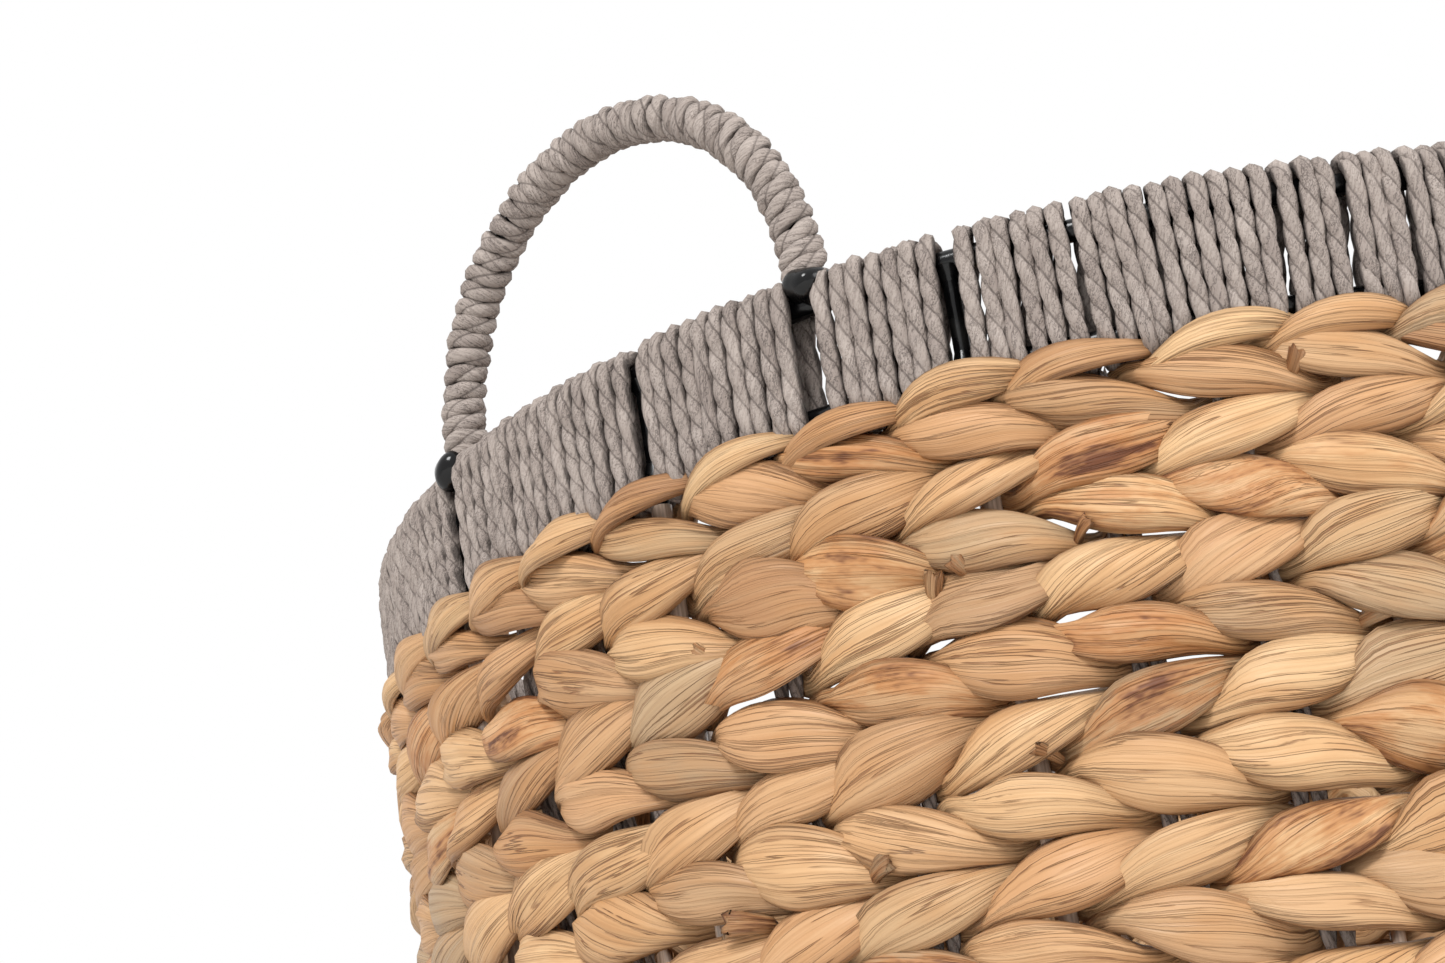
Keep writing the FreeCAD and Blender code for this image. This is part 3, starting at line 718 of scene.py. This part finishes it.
# Each wrapping starts and ends on the inside of the top ring, as parts of a turn.
HIDDEN_START, HIDDEN_END = 0.16, 0.83
wrap_reach = ring_wire / 2 + 2.4 * MM
rim_height = top_ring_z - low_ring_z
turn_length = 2 * rim_height + TAU * wrap_reach
gap_angle = (ring_wire / 2 + 1.5 * MM) / ring_radius


def track(f):
    """One turn round both rings: down the outside, under, up the inside and over."""
    d = f * turn_length
    half = math.pi * wrap_reach
    h = rim_height
    low, inside, top = d - h, d - h - half, d - 2 * h - half
    a, b = low / wrap_reach, top / wrap_reach
    where = [d < h, d < h + half, d < 2 * h + half]
    zero = 0 * d
    out = np.select(where, [zero + 1, np.cos(a), zero - 1], -np.cos(b))
    up = np.select(where, [zero, -np.sin(a), zero], np.sin(b))
    height = np.select(where, [top_ring_z - d, zero + low_ring_z, low_ring_z + inside], zero + top_ring_z)
    return out, up, height


# Slits between turns of the rim's cord, by their turn from the post line in degrees and their width in
# millimetres. Most are where a post stands.
SLITS = {
    180.2: 4.4, 202.5: 5.0, 209.9: 1.5, 222.0: 1.0, 225.8: 2.2, 230.1: 1.2, 157.5: 2.0, 171.0: 0.8,
    247.6: 3.2, 270.1: 2.6, 292.4: 3.4, 315.0: 1.0, 337.6: 3.0, 0.2: 3.4, 22.4: 2.4, 45.1: 3.2, 67.5: 1.2,
    89.9: 3.5, 112.6: 2.8, 135.2: 3.3,
}
for d in rng.uniform(235, 510, 22):
    SLITS[round(d % 360, 1)] = rng.uniform(0.6, 1.6)


def rim_wrap(name, start, end, node):
    """Side by side turns from one handle foot to the next, uneven, with the slits between them."""
    margin = 1.1 * MM / ring_radius
    slits = [((math.radians(d) + post_turn) % TAU, w) for d, w in SLITS.items()]
    places, angle = [], start + margin
    while angle < end - margin:
        places.append(angle)
        step = WRAP_PITCH * rng.normal(1, 0.09)
        step += sum(w * MM for a, w in slits if angle % TAU <= a < angle % TAU + step / ring_radius)
        angle += step / ring_radius
    places = np.array(places) + (end - margin - places[-1]) * np.linspace(0, 1, len(places))
    turns = len(places)
    each = np.arange(turns)
    knots = np.arange(0, turns + 8, 7)
    tilt = np.interp(each, knots, rng.normal(0, 1.6 * MM, len(knots))) + rng.normal(0, 0.42 * MM, turns)
    room = np.minimum(each, turns - 1 - each)
    tilt = tilt * smooth(room / 3)
    proud = np.abs(rng.normal(0, 0.4 * MM, turns))

    def path(d):
        n = d / turn_length - HIDDEN_START
        whole = np.floor(n)
        f = n - whole
        out, up, height = track(f)
        n = whole + smooth((f * turn_length - rim_height) / (turn_length - rim_height))
        lean = np.interp(n, each, tilt)
        slope = lean * (height - low_ring_z - rim_height / 2) / rim_height / ring_radius
        angle = np.interp(n, each, places) + slope
        lift = wrap_reach + np.interp(n, each, proud)
        radial = np.stack([np.cos(angle), np.sin(angle), 0 * angle], -1)
        outward = radial * out[:, None] + np.array([0, 0, 1]) * up[:, None]
        middle = radial * ring_radius + np.array([0, 0, 1]) * height[:, None] + outward * lift[:, None]
        return middle, outward

    length = (turns - 1 + HIDDEN_START + HIDDEN_END) * turn_length
    strips = max(4, turns // 5)
    plies = cord(path, length, WRAP_STEP, WRAP_LAY, WRAP_PLY, WRAP_SPREAD, strips=strips, flat=0.93)
    tubes_piece(name, plies, paper, "paper_cord", node)


feet = [-foot_angle, foot_angle, math.pi - foot_angle, math.pi + foot_angle, TAU - foot_angle]
for side, start, end in zip(("right", "back", "left", "front"), feet, feet[1:]):
    rim_wrap("rim_wrapping_" + side, start + gap_angle, end - gap_angle, "rim_wrap_" + side)

# ---------------------------------------------------------------- the handles' wrapping


HANDLE_PLY, HANDLE_SPREAD, HANDLE_LAY = 2.05 * MM, 0.65 * MM, 15 * MM
HANDLE_PITCH = 4.5 * MM  # from one turn round the handle to the next
HANDLE_STEP = 1.3 * MM


def handle_wrap(name, side, node):
    """One cord wound up a handle's foot, over its arch and down to the other foot."""
    low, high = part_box(node)
    tube_radius = (high.x - low.x) / 2
    spring_z = high.z - tube_radius - handle_radius
    leg = max(spring_z - low.z, 0)
    reach = tube_radius - 2.0 * MM
    arc = math.pi * handle_radius + 2 * leg
    turns = int(arc / HANDLE_PITCH)
    one_turn = math.hypot(TAU * reach, HANDLE_PITCH)
    each = np.arange(turns + 2)
    places = np.concatenate([[0], np.cumsum(rng.normal(1, 0.1, turns + 1))])
    places *= arc / places[-1]
    proud = rng.normal(0, 0.15 * MM, turns + 2)
    lean = rng.normal(0.5 * MM, 0.3 * MM, turns + 2) + 0.6 * MM * smooth(np.arange(turns + 2) / turns * 3 - 2)

    def path(d):
        n = d / one_turn
        wind = TAU * n
        along = np.interp(n, each, places) + np.interp(n, each, lean) * np.sin(wind)
        along = np.clip(along, 0, arc)
        bend = np.clip((along - leg) / handle_radius, 0, math.pi)
        fall = np.maximum(leg - along, 0) + np.maximum(along - arc + leg, 0)
        outer = np.stack([0 * bend, np.cos(bend), np.sin(bend)], -1)
        outward = outer * np.cos(wind)[:, None] + np.array([side, 0, 0]) * np.sin(wind)[:, None]
        lift = reach + np.interp(n, each, proud)
        middle = np.array([side * handle_x, 0, spring_z]) + outer * handle_radius + outward * lift[:, None]
        middle = middle - np.array([0, 0, 1]) * fall[:, None]
        return middle, outward

    length = (turns + 1) * one_turn
    shape = {"around": 8, "strips": 6, "flat": 0.8, "pale": 0.45}
    plies = cord(path, length, HANDLE_STEP, HANDLE_LAY, HANDLE_PLY, HANDLE_SPREAD, **shape)
    tubes_piece(name, plies, paper, "paper_cord", node)


handle_wrap("handle_wrapping_right", 1, "handle_wrap_right")
handle_wrap("handle_wrapping_left", -1, "handle_wrap_left")

# ---------------------------------------------------------------- the weld lumps under the handles


WELD_SIZE = (5.4, 5.8, 5.0)  # half sizes in millimetres
WELD_OUT = 2.6 * MM  # how far they stand out from the ring's middle


def weld_lumps(*nodes):
    """Fat beads of weld, thick with enamel, where the handle wires stand on the top ring."""
    bm = bmesh.new()
    for side in (-1, 1):
        for way in (-1, 1):
            foot = Vector((side * handle_x, way * (handle_radius + 1.5 * MM), top_high.z + 1.0 * MM))
            foot += foot.xy.normalized().to_3d() * WELD_OUT
            ball = bmesh.ops.create_uvsphere(bm, u_segments=28, v_segments=18, radius=1)["verts"]
            starts = rng.uniform(0, TAU, 3)
            for vert in ball:
                x, y, z = vert.co
                swell = 1 + 0.1 * math.sin(3 * x + starts[0]) + 0.09 * math.sin(4 * y + 2 * z + starts[1])
                vert.co = foot + Vector((x * WELD_SIZE[0], y * WELD_SIZE[1], z * WELD_SIZE[2])) * swell * MM
    for face in bm.faces:
        face.smooth = True
    mesh = bpy.data.meshes.new("foot_welds")
    bm.to_mesh(mesh)
    bm.free()
    mesh.materials.append(enamel)
    piece = bpy.data.objects.new("foot_welds", mesh)
    bpy.context.scene.collection.objects.link(piece)
    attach(piece, "root")
    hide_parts(*nodes)


weld_lumps("handle_welds")

# ---------------------------------------------------------------- the paper stakes

STAKE_BEND = 8 * MM  # radius of the turn from the wall to the floor
STAKE_END = 126 * MM  # how far from the middle the cords end
STAKE_PLY, STAKE_SPREAD, STAKE_LAY = 1.25 * MM, 0.85 * MM, 18 * MM
STAKE_STEP = 4 * MM
BESIDE = 2.05 * MM  # from the middle of a stake to the middle of each of its two cords


def stake_path(angle, beside):
    """Straight down the wall, round the bend and in under the floor."""
    drop = low_ring_z - 6 * MM - floor_z - STAKE_BEND
    curve = STAKE_BEND * math.pi / 2
    run = ring_radius - STAKE_BEND - STAKE_END

    def path(d):
        down = np.clip(d, -MM, drop)
        bend = np.clip((d - drop) / STAKE_BEND, 0, math.pi / 2)
        inward = np.maximum(d - drop - curve, 0)
        r = ring_radius - STAKE_BEND * (1 - np.cos(bend)) - inward
        z = floor_z + STAKE_BEND + drop - down - STAKE_BEND * np.sin(bend)
        flat = np.array([math.cos(angle), math.sin(angle), 0])
        aside = np.array([-math.sin(angle), math.cos(angle), 0]) * beside
        middle = flat * r[:, None] + aside + np.array([0, 0, 1]) * z[:, None]
        outward = flat * np.cos(bend)[:, None] - np.array([0, 0, 1]) * np.sin(bend)[:, None]
        return middle, outward

    return path, drop + curve + run


half_sets = {"paper_stakes_front": [], "paper_stakes_back": []}
for number in range(STAKES):
    if number % (STAKES // SPOKES) == 0:
        continue
    for beside in (-BESIDE, BESIDE):
        path, length = stake_path(post_turn + number * STAKE_ANGLE, beside)
        name = "paper_stakes_back" if number < STAKES // 2 else "paper_stakes_front"
        half_sets[name] += cord(
            path, length, STAKE_STEP, STAKE_LAY, STAKE_PLY, STAKE_SPREAD, around=5, strips=1
        )
for name, tubes in half_sets.items():
    tubes_piece(name, tubes, paper, "paper_cord", "paper_stakes")

# ---------------------------------------------------------------- the cords across the foot gaps


def gap_path(angle, lean):
    """A single slack turn that crosses the gap from the top ring to the lower one."""
    height = rim_height + ring_wire / 2

    def path(d):
        f = d / height
        a = angle + lean * (f - 0.5) / ring_radius
        r = ring_radius - 4.8 * MM - 0.8 * MM * np.sin(math.pi * f)
        outward = np.stack([np.cos(a), np.sin(a), 0 * a], -1)
        middle = outward * r[:, None] + np.array([0, 0, 1]) * (top_ring_z + ring_wire / 4 - d)[:, None]
        return middle, outward

    return path, height


GAP_PLY, GAP_SPREAD, GAP_LAY = 1.1 * MM, 0.8 * MM, 12 * MM
GAP_STEP = 1.5 * MM
GAP_LEAN = 4 * MM  # how far it goes sideways on its way down
gap_tubes = []
for turn in (foot_angle, math.pi - foot_angle, math.pi + foot_angle, -foot_angle):
    path, length = gap_path(turn, GAP_LEAN)
    gap_tubes += cord(path, length, GAP_STEP, GAP_LAY, GAP_PLY, GAP_SPREAD, around=8, strips=1)
tubes_piece("gap_cords", gap_tubes, paper, "paper_cord", "foot_gap_cords")

# ---------------------------------------------------------------- floor, light and camera

bpy.ops.mesh.primitive_plane_add(size=12)
sweep = bpy.context.object
sweep.name = "studio_floor"
sweep.data.materials.append(pale_floor())

world = bpy.data.worlds.new("studio")
world.use_nodes = True
# The backdrop is white, and lights the basket less than it shows, so that the soft boxes shape it.
seen = add(world.node_tree, "ShaderNodeLightPath").outputs["Is Camera Ray"]
strength = window(world.node_tree, seen, 0, 1, 0.82, 1.0)
world.node_tree.nodes["Background"].inputs["Color"].default_value = (1, 1, 1, 1)
world.node_tree.links.new(strength, world.node_tree.nodes["Background"].inputs["Strength"])
bpy.context.scene.world = world


def soft_box(name, spot, aim, size, power):
    """A big soft light that looks at a spot on the basket."""
    data = bpy.data.lights.new(name, "AREA")
    data.shape, data.size, data.energy = "DISK", size, power
    lamp = bpy.data.objects.new(name, data)
    bpy.context.scene.collection.objects.link(lamp)
    lamp.location = spot
    lamp.rotation_mode = "QUATERNION"
    lamp.rotation_quaternion = (Vector(aim) - Vector(spot)).to_track_quat("-Z", "Y")


soft_box("key", (-3.6, -1.5, 4.2), (0, 0, 0.4), 2.0, 190)
soft_box("fill", (1.4, -4.2, 2.0), (0, 0, 0.35), 2.4, 60)

# The camera stands low beside the basket and looks up at the rim. Its angles are turned with the posts.
HEADING, PITCH, ROLL = math.radians(40.289) + post_turn, math.radians(19.155), math.radians(-9.047)
DISTANCE, BEARING, EYE_HEIGHT = 1.06283, math.radians(213.5) + post_turn, 0.15559
forward = Vector((math.cos(HEADING) * math.cos(PITCH), math.sin(HEADING) * math.cos(PITCH), math.sin(PITCH)))
level = Vector((math.sin(HEADING), -math.cos(HEADING), 0))
upright = level.cross(forward)
right = level * math.cos(ROLL) + upright * math.sin(ROLL)
above = upright * math.cos(ROLL) - level * math.sin(ROLL)
eye = bpy.data.cameras.new("camera")
eye.lens, eye.sensor_width = 98.39, 36
camera = bpy.data.objects.new("camera", eye)
bpy.context.scene.collection.objects.link(camera)
turned = Matrix((right, above, -forward)).transposed()
stand = Vector((DISTANCE * math.cos(BEARING), DISTANCE * math.sin(BEARING), EYE_HEIGHT))
camera.matrix_world = Matrix.Translation(stand) @ turned.to_4x4()
bpy.context.scene.camera = camera
bpy.context.scene.view_settings.view_transform = "Standard"
